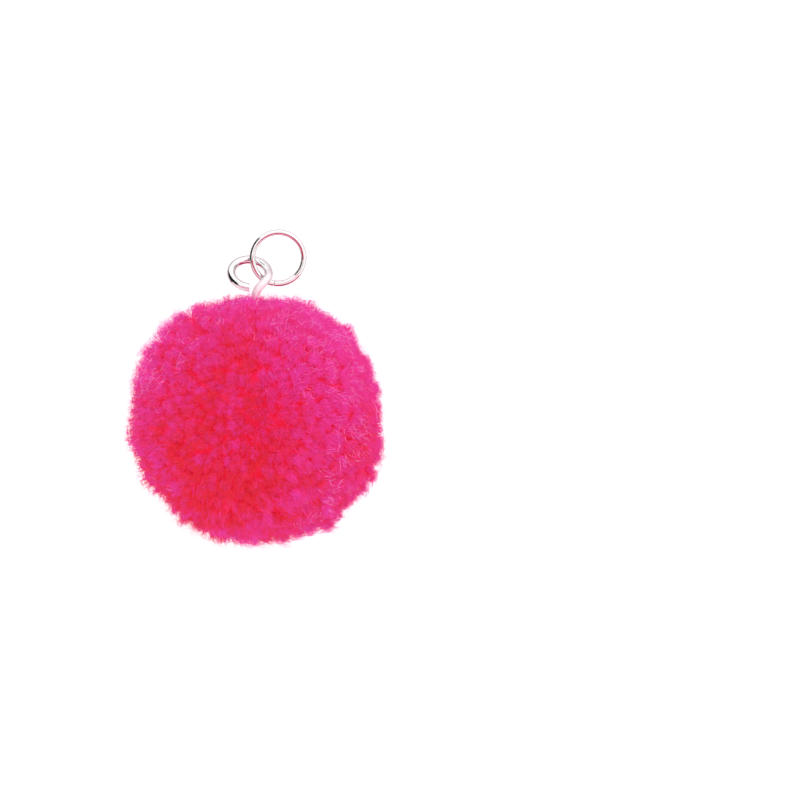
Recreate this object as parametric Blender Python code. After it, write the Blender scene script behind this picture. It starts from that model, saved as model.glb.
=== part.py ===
"""A yarn pom pom charm lying flat on a table: a trimmed yarn ball, its wire eye and an open jump ring.

Metres, +Z up. The ball lies at the origin on a small flat spot, and its eye points along +Y, level with
the ball's middle, so that a viewer looking straight down sees the ball, the eye and the ring face on.
"""
import math
import random

import bmesh
import bpy
from mathutils import Matrix, Vector, noise
from mathutils.geometry import interpolate_bezier

MM = 0.001
DOWN = Vector((0, 0, -1))
STEM_SIDE = Vector((0, 1, 0))
SAME_WAY = math.radians(1)

# The yarn ball. Its cut strands are grouped in four-sided locks that stand on a round fused core.
CENTRE_HEIGHT = 14.3 * MM       # ball's centre above the table
CORE_RADIUS = 9.0 * MM          # where the locks are fused at their roots
LOCKS_ACROSS = 7                # locks along each side of the cube that the ball is divided as
ROOT_GAP = 0.24 * MM            # between neighbouring locks at the core; it widens outwards
ROOT_WANDER = 0.24 * MM         # how far a lock's corner strays from its place by itself
ROOT_DRIFT = 1.05 * MM          # how far whole rows of locks drift from straight
DRIFT_WAVES = 2.2               # how quickly that drift changes over the core
SETTLED_ANGLE = math.radians(44)  # from the resting spot or the stem, where the drift is full
TRIM_WANDER = 0.35 * MM         # how unevenly the scissors left the locks
WANDER_SEED = 11

# Where the trimmed pile ends, going round the ball's middle: degrees from +X, radius in millimetres.
OUTLINE = (
    (0, 15.1),
    (30, 15.4),
    (60, 15.2),
    (90, 14.8),
    (120, 15.3),
    (150, 15.8),
    (180, 15.2),
    (210, 15.2),
    (240, 15.1),
    (270, 15.1),
    (300, 15.5),
    (330, 15.8),
)
MEAN_PILE = 15.2 * MM           # the same, at the ball's top

# A lock from its shoulder to its end: how far below the pile's surface, share of its full width.
LOCK_STEPS = (
    (1.4 * MM, 1.00),
    (0.4 * MM, 0.90),
    (0.0 * MM, 0.56),
)

# The flat spot: the locks that the ball lies on are pressed short and end level on the table.
RESTING_ANGLE = math.radians(21)
RESTING_STEPS = (
    (1.3 * MM, 1.00),
    (0.3 * MM, 0.92),
    (0.0 * MM, 0.74),
)
TABLE_CLEARANCE = 0.3 * MM      # every other lock stays this far off the table

# The eye: a loop bent from the end of a wire whose stem goes into the ball.
EYE_WIRE = 1.0 * MM
EYE_RADIUS = 2.29 * MM          # of the loop, to the middle of the wire
EYE_CENTRE = Vector((-0.68, 17.82, 12.8)) * MM
EYE_TILT = math.radians(44)     # the loop's far side is tipped down by this
EYE_TURN = math.radians(-9)     # of the line that it tips about, from +X
EYE_START = math.radians(-19)   # where the stem runs into the loop
EYE_END = math.radians(277)     # its cut end
EYE_PITCH = 0.38 * MM           # how far the loop's two ends are bent apart sideways
EYE_STEPS = 34
STEM_MOUTH = Vector((0, 14.75 * MM, CENTRE_HEIGHT))
STEM_DEPTH = 7.3 * MM           # how near the ball's centre the stem's inner end comes
STEM_BEND_STEPS = 9
SOCKET_WIDTH = EYE_WIRE + 0.6 * MM
SOCKET_FLOOR = STEM_DEPTH - 0.3 * MM
SOCKET_LOCK_SPREAD = 1.36       # the lock round the stem is wider than the rest by this much

# The jump ring, open by a hair at its butt joint.
RING_WIRE = 0.7 * MM
RING_RADIUS = 3.15 * MM         # to the middle of the wire
RING_CENTRE = Vector((2.75, 19.70, 12.2)) * MM
RING_TILT = math.radians(-9)
RING_TILT_AXIS = math.radians(214)
RING_JOINT = math.radians(261)  # where its two cut ends meet
RING_JOINT_GAP = 0.1 * MM
RING_STEPS = 48

WIRE_BEVEL_RESOLUTION = 3


def make_material(name, colour, roughness, metallic):
    """A Principled BSDF with one colour."""
    material = bpy.data.materials.new(name)
    material.use_nodes = True
    shader = material.node_tree.nodes["Principled BSDF"]
    shader.inputs["Base Color"].default_value = (*colour, 1)
    shader.inputs["Roughness"].default_value = roughness
    shader.inputs["Metallic"].default_value = metallic
    return material


def pile_radius(direction):
    """How far out the trimmed pile ends in a direction from the ball's centre."""
    rows = len(OUTLINE)
    place = math.degrees(math.atan2(direction.y, direction.x)) % 360 / (360 / rows)
    row = int(place) % rows
    here = OUTLINE[row][1] * MM
    following = OUTLINE[(row + 1) % rows][1] * MM
    outline = here + (following - here) * (place - int(place))
    return MEAN_PILE + (outline - MEAN_PILE) * (1 - abs(direction.z))


def stray_from_grid(direction, wander):
    """How far a corner between locks strays from the even grid, as a share of the core's radius."""
    alone = Vector([wander.uniform(-1, 1) for _ in range(3)]) * ROOT_WANDER
    together = noise.noise_vector(direction * DRIFT_WAVES) * ROOT_DRIFT
    nearest = min(direction.angle(DOWN), direction.angle(STEM_SIDE))
    freedom = max(0, min(1, 2 * nearest / SETTLED_ANGLE - 1))
    return (alone + together) * freedom / CORE_RADIUS


def divide_core(mesh, wander):
    """A round core divided into four-sided fields of about equal size, one for each lock."""
    bmesh.ops.create_cube(mesh, size=2)
    bmesh.ops.subdivide_edges(mesh, edges=mesh.edges[:], cuts=LOCKS_ACROSS - 1, use_grid_fill=True)
    edge_of_middle = math.tan(math.pi / 4 / LOCKS_ACROSS)
    for vertex in mesh.verts:
        field = Vector([math.tan(part * math.pi / 4) for part in vertex.co])
        if field.y > 0.99 and max(abs(field.x), abs(field.z)) < edge_of_middle * 1.01:
            field.x *= SOCKET_LOCK_SPREAD
            field.z *= SOCKET_LOCK_SPREAD
        direction = field.normalized()
        direction += stray_from_grid(direction, wander)
        vertex.co = direction.normalized() * CORE_RADIUS


def place_corners(face, corners, axis, radius, share):
    """Put a lock's four corners at a radius, at a share of their full distance from its axis."""
    for vertex, corner in zip(face.verts, corners):
        side = (corner - axis * corner.dot(axis)) * share
        vertex.co = (axis + side).normalized() * radius


def place_resting_corners(face, corners, axis, height, share):
    """The same for a lock under the ball: its corners lie at a height above the table."""
    drop = CENTRE_HEIGHT - height
    for vertex, corner in zip(face.verts, corners):
        side = (corner - axis * corner.dot(axis)) * share
        direction = (axis + side).normalized()
        vertex.co = direction * (drop / -direction.z)


def grow_lock(mesh, root, wander):
    """Draw one lock out from its root on the core, and return the face at its end."""
    corners = [vertex.co.normalized() for vertex in root.verts]
    axis = sum(corners, Vector()).normalized()
    rests = axis.angle(DOWN) < RESTING_ANGLE
    trim = pile_radius(axis) + wander.uniform(-1, 1) * TRIM_WANDER
    face = root
    for depth, share in RESTING_STEPS if rests else LOCK_STEPS:
        face = bmesh.ops.extrude_discrete_faces(mesh, faces=[face])["faces"][0]
        if rests:
            place_resting_corners(face, corners, axis, depth, share)
            continue
        place_corners(face, corners, axis, trim - depth, share)
        lowest = TABLE_CLEARANCE + depth - CENTRE_HEIGHT
        for vertex in face.verts:
            if vertex.co.z < lowest:
                vertex.co *= lowest / vertex.co.z
    return face


def grow_socket_lock(mesh, root):
    """The lock round the eye's stem: a level-ended lock with a square socket down its middle."""
    corners = [vertex.co.normalized() for vertex in root.verts]
    rim = pile_radius(STEM_SIDE) - LOCK_STEPS[1][0]
    face = bmesh.ops.extrude_discrete_faces(mesh, faces=[root])["faces"][0]
    place_corners(face, corners, STEM_SIDE, rim, 1)
    for depth in (rim, SOCKET_FLOOR):
        face = bmesh.ops.extrude_discrete_faces(mesh, faces=[face])["faces"][0]
        for vertex, corner in zip(face.verts, corners):
            across = math.copysign(SOCKET_WIDTH / 2, corner.x)
            upright = math.copysign(SOCKET_WIDTH / 2, corner.z)
            vertex.co = (across, depth, upright)


def build_yarn_ball(collection):
    """The trimmed ball: a fused core that carries a lock on each of its fields."""
    wander = random.Random(WANDER_SEED)
    mesh = bmesh.new()
    divide_core(mesh, wander)
    fields = mesh.faces[:]
    bmesh.ops.inset_individual(mesh, faces=fields, thickness=ROOT_GAP / 2, use_even_offset=True)
    for root in fields:
        if root.calc_center_median().angle(STEM_SIDE) < SAME_WAY:
            grow_socket_lock(mesh, root)
        else:
            grow_lock(mesh, root, wander)
    bmesh.ops.transform(mesh, matrix=Matrix.Translation((0, 0, CENTRE_HEIGHT)), verts=mesh.verts)
    data = bpy.data.meshes.new("pom_pom")
    mesh.to_mesh(data)
    mesh.free()
    ball = bpy.data.objects.new("pom_pom", data)
    data.materials.append(make_material("hot_pink_yarn", (0.80, 0.024, 0.115), 0.95, 0))
    collection.objects.link(ball)


def eye_path():
    """The middle of the eye's wire, from its inner end in the ball round to its cut end."""
    across = Vector((math.cos(EYE_TURN), math.sin(EYE_TURN), 0))
    away = Matrix.Rotation(-EYE_TILT, 3, across) @ Vector((-across.y, across.x, 0))
    sideways = across.cross(away)
    loop = []
    for step in range(EYE_STEPS + 1):
        share = step / EYE_STEPS
        angle = EYE_START + (EYE_END - EYE_START) * share
        place = (across * math.cos(angle) + away * math.sin(angle)) * EYE_RADIUS
        loop.append(EYE_CENTRE + place + sideways * EYE_PITCH * (0.5 - share))
    into_stem = across * math.sin(EYE_START) - away * math.cos(EYE_START)
    reach = (loop[0] - STEM_MOUTH).length * 0.4
    bend = interpolate_bezier(
        STEM_MOUTH,
        STEM_MOUTH + Vector((0, reach, 0)),
        loop[0] + into_stem * reach,
        loop[0],
        STEM_BEND_STEPS,
    )
    inner_end = Vector((0, STEM_DEPTH, CENTRE_HEIGHT))
    return [inner_end, *bend[:-1], *loop]


def ring_path():
    """The middle of the jump ring's wire, from one cut end round to the other."""
    tilt = Matrix.Rotation(RING_TILT, 3, Vector((math.cos(RING_TILT_AXIS), math.sin(RING_TILT_AXIS), 0)))
    half_gap = RING_JOINT_GAP / 2 / RING_RADIUS
    turn = 2 * math.pi - 2 * half_gap
    path = []
    for step in range(RING_STEPS + 1):
        angle = RING_JOINT + half_gap + turn * step / RING_STEPS
        path.append(RING_CENTRE + tilt @ Vector((math.cos(angle), math.sin(angle), 0)) * RING_RADIUS)
    return path


def build_wire(collection, name, path, diameter, material):
    """A round wire with flat cut ends along a path."""
    curve = bpy.data.curves.new(name, "CURVE")
    curve.dimensions = "3D"
    curve.bevel_depth = diameter / 2
    curve.bevel_resolution = WIRE_BEVEL_RESOLUTION
    curve.use_fill_caps = True
    spline = curve.splines.new("POLY")
    spline.points.add(len(path) - 1)
    for point, place in zip(spline.points, path):
        point.co = (*place, 1)
    spline.use_smooth = True
    curve.materials.append(material)
    collection.objects.link(bpy.data.objects.new(name, curve))


def main():
    """Build the charm's three pieces in a collection of its own."""
    for old in list(bpy.data.objects):
        bpy.data.objects.remove(old)
    collection = bpy.data.collections.new("yarn_pom_pom")
    bpy.context.scene.collection.children.link(collection)
    build_yarn_ball(collection)
    plated_wire = make_material("silver_plated_wire", (0.86, 0.86, 0.87), 0.12, 1)
    build_wire(collection, "wire_eye", eye_path(), EYE_WIRE, plated_wire)
    build_wire(collection, "jump_ring", ring_path(), RING_WIRE, plated_wire)


main()
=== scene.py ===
"""Looks of a yarn pom pom charm: a trimmed ball of hot pink yarn, its plated wire eye and its jump ring.

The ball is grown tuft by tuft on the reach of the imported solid. Every tuft is one end of cut yarn: a soft
bud of packed fibre, a brush of trimmed fibres over it and a few loose wisps. The wires follow the same
paths as their solids. Lengths are in metres, +Z is up and the charm lies on the floor at Z = 0.
"""

import logging
import math
from dataclasses import dataclass, field
from enum import Enum
from functools import cached_property

import bmesh
import bpy
import numpy as np
import numpy.typing as npt
from mathutils import Matrix, Vector
from mathutils.geometry import interpolate_bezier


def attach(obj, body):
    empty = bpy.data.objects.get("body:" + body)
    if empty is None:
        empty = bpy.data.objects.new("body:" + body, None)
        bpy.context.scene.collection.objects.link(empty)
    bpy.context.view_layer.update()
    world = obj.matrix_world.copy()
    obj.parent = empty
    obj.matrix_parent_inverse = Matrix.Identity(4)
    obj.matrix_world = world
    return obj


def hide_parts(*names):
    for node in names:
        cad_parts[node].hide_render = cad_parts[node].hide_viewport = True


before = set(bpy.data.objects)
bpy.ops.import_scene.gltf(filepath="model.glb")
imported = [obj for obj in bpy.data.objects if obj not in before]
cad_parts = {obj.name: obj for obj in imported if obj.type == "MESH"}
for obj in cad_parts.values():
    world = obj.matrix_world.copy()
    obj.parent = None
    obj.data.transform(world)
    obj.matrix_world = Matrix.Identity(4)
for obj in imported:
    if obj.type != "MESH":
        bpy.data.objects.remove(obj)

MM = 0.001
GOLDEN_ANGLE = math.pi * (3 - math.sqrt(5))

# The pile's own map, which the export keeps for baking: tone across, root to tip along.
PILE_MAP = "OFBake"
MAP_TURN = ((0.94, 0.34), (0.34, -0.94))
MAP_HEIGHT = 0.006
MAP_LIMITS = (0.001, 0.999)

# Shape of a fibre: how its rings crowd to the tip, where the tip starts, what brings a bow's peak to one.
RING_CROWDING = 0.6
TIP_SHARE = 0.999
BOW_SCALE = 27 / 4

# Sums of waves: how many there are in a slow drift and in a fine pattern, their pitches and their headroom.
BROAD_WAVES = 9
FINE_WAVES = 20
WAVE_PITCHES = (0.6, 1.4)
WAVE_HEADROOM = 1.6

# A wire's cut end: how far its edge is rounded, as a share of the wire, and in how many steps.
CUT_ROUNDING = 0.10
CUT_STEPS = 3

Floats = npt.NDArray[np.float64]
Indices = npt.NDArray[np.int64]
Choices = npt.NDArray[np.bool_]
Colour = tuple[float, float, float, float]
Slope = tuple[float, float, float]
Span = tuple[float, float]
Tree = bpy.types.NodeTree
Socket = bpy.types.NodeSocket
Material = bpy.types.Material
Piece = bpy.types.Object

logging.basicConfig(level=logging.INFO, format="%(name)s: %(message)s")
log = logging.getLogger("pom_pom_charm")


class PileZone(Enum):
    """Side of the ball that one mesh of pile covers, with the way that side faces."""

    CROWN = (0.0, 0.0, 1.0)
    UNDERSIDE = (0.0, 0.0, -1.0)
    RIGHT = (1.0, 0.0, 0.0)
    LEFT = (-1.0, 0.0, 0.0)
    NECK = (0.0, 1.0, 0.0)
    FOOT = (0.0, -1.0, 0.0)


class Draw(Enum):
    """Random choice that is made for the ball, with what it adds to the ball's seed."""

    PLACES = 0
    WANDER = 1
    LUMPS = 2
    BUDS = 3
    HEART = 4
    LEANS = 10
    TONES = 20
    STRANDS = 30
    WAYS = 40
    BURST = 50


class WireEnd(Enum):
    """How the end of a wire is left: buried in the ball, or cut and shown."""

    BURIED = "buried"
    CUT = "cut"


# ---------- node helpers


def new_material(name: str) -> tuple[Material, bpy.types.ShaderNodeBsdfPrincipled]:
    """Start a node material.

    Args:
        name: what the material is called.

    Returns:
        The material and its Principled shader.
    """
    material = bpy.data.materials.new(name)
    material.use_nodes = True
    return material, material.node_tree.nodes["Principled BSDF"]


def set_inputs(node: bpy.types.Node, values: dict[str, float | Slope | Colour]) -> None:
    """Set some of a node's inputs, by their names."""
    for name, value in values.items():
        node.inputs[name].default_value = value


def add_ramp(tree: Tree, source: Socket, stops: list[tuple[float, Colour]]) -> Socket:
    """Add a colour ramp with the given stops.

    Args:
        tree: the material's node tree.
        source: the value output that the ramp reads.
        stops: pairs of position and colour, in rising order, at least two.

    Returns:
        The colour's output.
    """
    ramp = tree.nodes.new("ShaderNodeValToRGB")
    elements = ramp.color_ramp.elements
    for _ in stops[2:]:
        elements.new(1.0)
    for element, (position, colour) in zip(elements, stops):
        element.position = position
        element.color = colour
    tree.links.new(source, ramp.inputs["Fac"])
    return ramp.outputs["Color"]


def add_noise(tree: Tree, source: Socket, scale: Slope, detail: float) -> Socket:
    """Add a noise texture on stretched coordinates.

    Args:
        tree: the material's node tree.
        source: the coordinate output that the noise reads.
        scale: how often the noise repeats along each coordinate.
        detail: octaves of finer noise.

    Returns:
        The noise's output.
    """
    mapping = tree.nodes.new("ShaderNodeMapping")
    set_inputs(mapping, {"Scale": scale})
    noise = tree.nodes.new("ShaderNodeTexNoise")
    set_inputs(noise, {"Scale": 1.0, "Detail": detail})
    tree.links.new(source, mapping.inputs["Vector"])
    tree.links.new(mapping.outputs["Vector"], noise.inputs["Vector"])
    return noise.outputs["Fac"]


def add_map_range(tree: Tree, source: Socket, from_span: Span, to_span: Span) -> Socket:
    """Add a node that turns one range of a value into another.

    Args:
        tree: the material's node tree.
        source: the value output to change.
        from_span: values at the range's two ends.
        to_span: what they become.

    Returns:
        The changed value's output.
    """
    node = tree.nodes.new("ShaderNodeMapRange")
    set_inputs(node, dict(zip(("From Min", "From Max", "To Min", "To Max"), from_span + to_span)))
    tree.links.new(source, node.inputs["Value"])
    return node.outputs["Result"]


def add_maths(tree: Tree, operation: str, first: Socket, second: Socket, clamp: bool = False) -> Socket:
    """Add a node that works out one value from two.

    Args:
        tree: the material's node tree.
        operation: what is done with the two values.
        first: one value output.
        second: the other value output.
        clamp: whether the result is kept from 0 to 1.

    Returns:
        The result's output.
    """
    node = tree.nodes.new("ShaderNodeMath")
    node.operation = operation
    node.use_clamp = clamp
    tree.links.new(first, node.inputs[0])
    tree.links.new(second, node.inputs[1])
    return node.outputs["Value"]


def add_colour_mix(tree: Tree, share: Socket) -> bpy.types.ShaderNodeMix:
    """Add a node that mixes two colours.

    Args:
        tree: the material's node tree.
        share: the output that gives the second colour's share.

    Returns:
        The mixing node.
    """
    mix = tree.nodes.new("ShaderNodeMix")
    mix.data_type = "RGBA"
    tree.links.new(share, mix.inputs["Factor"])
    return mix


def add_bump(tree: Tree, height: Socket, distance: float) -> bpy.types.ShaderNodeBump:
    """Add a bump.

    Args:
        tree: the material's node tree.
        height: the output that shapes it, from 0 to 1.
        distance: its full height.

    Returns:
        The bump node.
    """
    bump = tree.nodes.new("ShaderNodeBump")
    set_inputs(bump, {"Distance": distance})
    tree.links.new(height, bump.inputs["Height"])
    return bump


# ---------- finishes


@dataclass(frozen=True)
class YarnFinish:
    """Hot pink yarn: redder and darker deep in the pile, as painted shade, pinker at the cut tips, and pale
    on loose fibres, where painted highlights lie.

    The pile's own map gives a fibre's tone across and its root to tip along, and every node reads it. The
    tone holds painted light and shade as well as the yarn's own varied tone. Each tone also glows a little
    in its own colour, a painted glow for the light that scatters from fibre to fibre, dimmer deep in the
    pile.
    """

    name: str = "hot_pink_yarn"
    # Root colour and root glow: painted shade deep in the pile, darker and redder than the tips.
    deep_shade_colour: Colour = (0.86, 0.033, 0.122, 1.0)
    red_tone: Colour = (0.915, 0.034, 0.083, 1.0)
    pink_tone: Colour = (0.93, 0.050, 0.395, 1.0)
    bright_tone: Colour = (0.945, 0.074, 0.530, 1.0)
    pale_tone: Colour = (0.98, 0.35, 0.75, 1.0)
    deep_shade_glow: Colour = (0.40, 0.016, 0.043, 1.0)
    red_glow: Colour = (0.662, 0.038, 0.038, 1.0)
    pink_glow: Colour = (0.650, 0.049, 0.182, 1.0)
    bright_glow: Colour = (0.600, 0.056, 0.262, 1.0)
    pale_glow: Colour = (0.86, 0.125, 0.36, 1.0)
    tone_places: tuple[float, float, float, float] = (0.0, 0.45, 0.85, 1.0)
    tip_span: Span = (0.0, 0.62)
    glow: float = 0.300
    streaks_across: float = 700.0
    streaks_along: float = 9.0
    streak_detail: float = 2.0
    streak_span: Span = (0.3, 0.7)
    streak_depth: float = 0.06
    bump_height: float = 0.012 * MM
    roughness: Span = (0.66, 0.86)
    specular_level: float = 0.06
    sheen_weight: float = 0.06
    sheen_roughness: float = 0.45
    sheen_tint: Colour = (1.0, 0.30, 0.85, 1.0)

    def make(self) -> Material:
        """Build the yarn's node material.

        Returns:
            The material.
        """
        material, shader = new_material(self.name)
        tree = material.node_tree
        nodes, links = tree.nodes, tree.links
        pile_map = nodes.new("ShaderNodeUVMap")
        pile_map.uv_map = PILE_MAP
        parts = nodes.new("ShaderNodeSeparateXYZ")
        links.new(pile_map.outputs["UV"], parts.inputs["Vector"])
        streak_scale = (self.streaks_across, self.streaks_along, 1.0)
        streaks = add_noise(tree, pile_map.outputs["UV"], streak_scale, self.streak_detail)
        height = add_map_range(tree, parts.outputs["Y"], self.tip_span, (0.0, 1.0))
        shift = add_map_range(tree, streaks, self.streak_span, (-self.streak_depth, self.streak_depth))
        share = add_maths(tree, "ADD", height, shift, clamp=True)
        tones = (self.red_tone, self.pink_tone, self.bright_tone, self.pale_tone)
        glows = (self.red_glow, self.pink_glow, self.bright_glow, self.pale_glow)
        shown = (("Base Color", self.deep_shade_colour, tones), ("Emission Color", self.deep_shade_glow, glows))
        # Each colour runs from the root's painted shade to the fibre's tone at the tip.
        for socket, root, colours in shown:
            tone = add_ramp(tree, parts.outputs["X"], list(zip(self.tone_places, colours)))
            blend = add_colour_mix(tree, share)
            blend.inputs["A"].default_value = root
            links.new(tone, blend.inputs["B"])
            links.new(blend.outputs["Result"], shader.inputs[socket])
        links.new(add_map_range(tree, streaks, self.streak_span, self.roughness), shader.inputs["Roughness"])
        bump = add_bump(tree, streaks, self.bump_height)
        links.new(bump.outputs["Normal"], shader.inputs["Normal"])
        values = {
            "Specular IOR Level": self.specular_level,
            "Emission Strength": self.glow,
            "Sheen Weight": self.sheen_weight,
            "Sheen Roughness": self.sheen_roughness,
            "Sheen Tint": self.sheen_tint,
        }
        set_inputs(shader, values)
        return material


@dataclass(frozen=True)
class PlatedFinish:
    """Bright silver plating on bent wire, with faint handling marks and a slightly uneven gloss.

    A wire with the painted ball reflection is pale pink and dull on its stem, where it comes out of the
    yarn.
    """

    name: str = "silver_plated_wire"
    bright_colour: Colour = (0.95, 0.95, 0.955, 1.0)
    dulled_colour: Colour = (0.84, 0.835, 0.83, 1.0)
    edge_tint: Colour = (0.55, 0.53, 0.55, 1.0)
    roughness: Span = (0.05, 0.16)
    cloud_scale: float = 700.0
    cloud_detail: float = 4.0
    cloud_stops: Span = (0.35, 0.78)
    cloud_span: Span = (0.3, 0.75)
    mark_scale: Slope = (9000.0, 2200.0, 5200.0)
    mark_detail: float = 3.0
    mark_height: float = 0.002 * MM
    dent_scale: float = 1100.0
    dent_detail: float = 1.0
    dent_height: float = 0.012 * MM
    # Pale pink on the stem near the ball: a painted reflection of the ball, with a duller, less metallic
    # finish.
    paints_ball_reflection: bool = False
    ball_reflection_colour: Colour = (0.98, 0.86, 0.90, 1.0)
    ball_reflection_heights: Span = (16.2 * MM, 18.8 * MM)
    ball_reflection_sides: Span = (-0.75 * MM, -0.45 * MM)
    ball_reflection_roughness: float = 0.5
    ball_reflection_metal: float = 0.60

    def make(self) -> Material:
        """Build the plating's node material.

        Returns:
            The material.
        """
        material, shader = new_material(self.name)
        tree = material.node_tree
        nodes, links = tree.nodes, tree.links
        places = nodes.new("ShaderNodeTexCoord").outputs["Object"]
        ball_reflection = self.add_ball_reflection(tree, places)
        clouds = add_noise(tree, places, (self.cloud_scale,) * 3, self.cloud_detail)
        colours = (self.bright_colour, self.dulled_colour)
        # Mix in the painted reflection of the ball on the stem.
        tint = add_colour_mix(tree, ball_reflection)
        links.new(add_ramp(tree, clouds, list(zip(self.cloud_stops, colours))), tint.inputs["A"])
        tint.inputs["B"].default_value = self.ball_reflection_colour
        links.new(tint.outputs["Result"], shader.inputs["Base Color"])
        rough = nodes.new("ShaderNodeMix")
        links.new(ball_reflection, rough.inputs["Factor"])
        links.new(add_map_range(tree, clouds, self.cloud_span, self.roughness), rough.inputs["A"])
        rough.inputs["B"].default_value = self.ball_reflection_roughness
        links.new(rough.outputs["Result"], shader.inputs["Roughness"])
        metal = add_map_range(tree, ball_reflection, (0.0, 1.0), (1.0, self.ball_reflection_metal))
        links.new(metal, shader.inputs["Metallic"])
        marks = add_noise(tree, places, self.mark_scale, self.mark_detail)
        dents = add_noise(tree, places, (self.dent_scale,) * 3, self.dent_detail)
        fine_bump = add_bump(tree, marks, self.mark_height)
        broad_bump = add_bump(tree, dents, self.dent_height)
        links.new(fine_bump.outputs["Normal"], broad_bump.inputs["Normal"])
        links.new(broad_bump.outputs["Normal"], shader.inputs["Normal"])
        set_inputs(shader, {"Specular Tint": self.edge_tint})
        return material

    def add_ball_reflection(self, tree: Tree, places: Socket) -> Socket:
        """Add the nodes that find the stretch of the stem where the ball's reflection is painted.

        Args:
            tree: the material's node tree.
            places: the piece's own coordinates.

        Returns:
            The output of a value that is 1 on the stretch with the painted reflection and 0 elsewhere.
        """
        parts = tree.nodes.new("ShaderNodeSeparateXYZ")
        tree.links.new(places, parts.inputs["Vector"])
        near_ball = add_map_range(tree, parts.outputs["Y"], self.ball_reflection_heights, (float(self.paints_ball_reflection), 0.0))
        on_stem = add_map_range(tree, parts.outputs["X"], self.ball_reflection_sides, (0.0, 1.0))
        return add_maths(tree, "MULTIPLY", near_ball, on_stem)


@dataclass(frozen=True)
class StageFinish:
    """A plain matt surface of the studio, with a glow of its own that lifts its shadows."""

    name: str
    colour: Colour
    glow: float = 0.0
    roughness: float = 0.9

    def make(self) -> Material:
        """Build the matt material.

        Returns:
            The material.
        """
        material, shader = new_material(self.name)
        values = {
            "Base Color": self.colour,
            "Roughness": self.roughness,
            "Specular IOR Level": 0.0,
            "Emission Color": self.colour,
            "Emission Strength": self.glow,
        }
        set_inputs(shader, values)
        return material


# ---------- mesh building


def link_object(name: str, mesh: bpy.types.Mesh) -> Piece:
    """Put a mesh in the scene.

    Args:
        name: what the object is called.
        mesh: its mesh.

    Returns:
        The object, at the origin.
    """
    piece = bpy.data.objects.new(name, mesh)
    bpy.context.scene.collection.objects.link(piece)
    return piece


def shape_to_object(name: str, shape: bmesh.types.BMesh) -> Piece:
    """Make an object of a shape, and free the shape.

    Args:
        name: what the object is called.
        shape: its shape.

    Returns:
        The object, at the origin.
    """
    mesh = bpy.data.meshes.new(name)
    shape.to_mesh(mesh)
    shape.free()
    return link_object(name, mesh)


def bearing(azimuth: float, elevation: float) -> Slope:
    """Return the unit vector at an azimuth, from +X towards +Y, and an elevation above level."""
    level = math.cos(elevation)
    return (level * math.cos(azimuth), level * math.sin(azimuth), math.sin(elevation))


def unit(vectors: Floats) -> Floats:
    """Return the vectors, one in each row, at length one."""
    return vectors / np.maximum(np.linalg.norm(vectors, axis=-1, keepdims=True), 1e-12)


def sideways(vectors: Floats, directions: Floats) -> Floats:
    """Return what each vector has square to the unit direction in its row."""
    return vectors - (vectors * directions).sum(axis=1, keepdims=True) * directions


def waves(directions: Floats, count: int, pitch: float, seed: int) -> Floats:
    """Make a smooth random value over the ball from a sum of plane waves.

    Args:
        directions: unit vectors, one in each row.
        count: how many waves are added.
        pitch: the waves' number across the ball's radius.
        seed: choice of the waves.

    Returns:
        One value a direction, about -1 to 1.
    """
    rng = np.random.default_rng(seed)
    headings = unit(rng.normal(size=(count, 3))) * pitch * rng.uniform(*WAVE_PITCHES, (count, 1))
    phases = rng.uniform(0, 2 * math.pi, count)
    return np.sin(directions @ headings.T + phases).sum(axis=1) / math.sqrt(count / 2) / WAVE_HEADROOM


@dataclass
class Stems:
    """Middle lines of many fibres or buds, as arrays with a row each.

    Turns are random vectors that set how a copy is turned about its middle line.
    """

    roots: Floats
    tips: Floats
    bends: Floats
    turns: Floats
    widths: Floats
    tones: Floats


@dataclass
class Batch:
    """Many like shapes as arrays: points, triangles and the map place of each triangle's corners."""

    points: Floats
    triangles: Indices
    corners: Floats

    @staticmethod
    def joined(batches: list["Batch"]) -> "Batch":
        """Join several batches into one.

        Args:
            batches: what to join, at least one.

        Returns:
            One batch that holds them all.
        """
        starts = np.cumsum([0] + [len(batch.points) for batch in batches[:-1]])
        return Batch(
            np.concatenate([batch.points for batch in batches]),
            np.concatenate([batch.triangles + start for batch, start in zip(batches, starts)]),
            np.concatenate([batch.corners for batch in batches]),
        )

    def to_object(self, name: str, material: Material) -> Piece:
        """Make one smooth mesh object of the batch, with its pile map.

        Args:
            name: what the piece is called.
            material: its finish.

        Returns:
            The new object, at the origin.
        """
        mesh = bpy.data.meshes.new(name)
        mesh.vertices.add(len(self.points))
        mesh.vertices.foreach_set("co", self.points.astype(np.float32).ravel())
        mesh.loops.add(self.triangles.size)
        mesh.loops.foreach_set("vertex_index", self.triangles.astype(np.int32).ravel())
        mesh.polygons.add(len(self.triangles))
        mesh.polygons.foreach_set("loop_start", np.arange(len(self.triangles), dtype=np.int32) * 3)
        mesh.polygons.foreach_set("use_smooth", np.ones(len(self.triangles), dtype=bool))
        mesh.update(calc_edges=True)
        uv_map = mesh.uv_layers.new(name=PILE_MAP)
        uv_map.uv.foreach_set("vector", self.corners.astype(np.float32).ravel())
        mesh.materials.append(material)
        return link_object(name, mesh)


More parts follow.
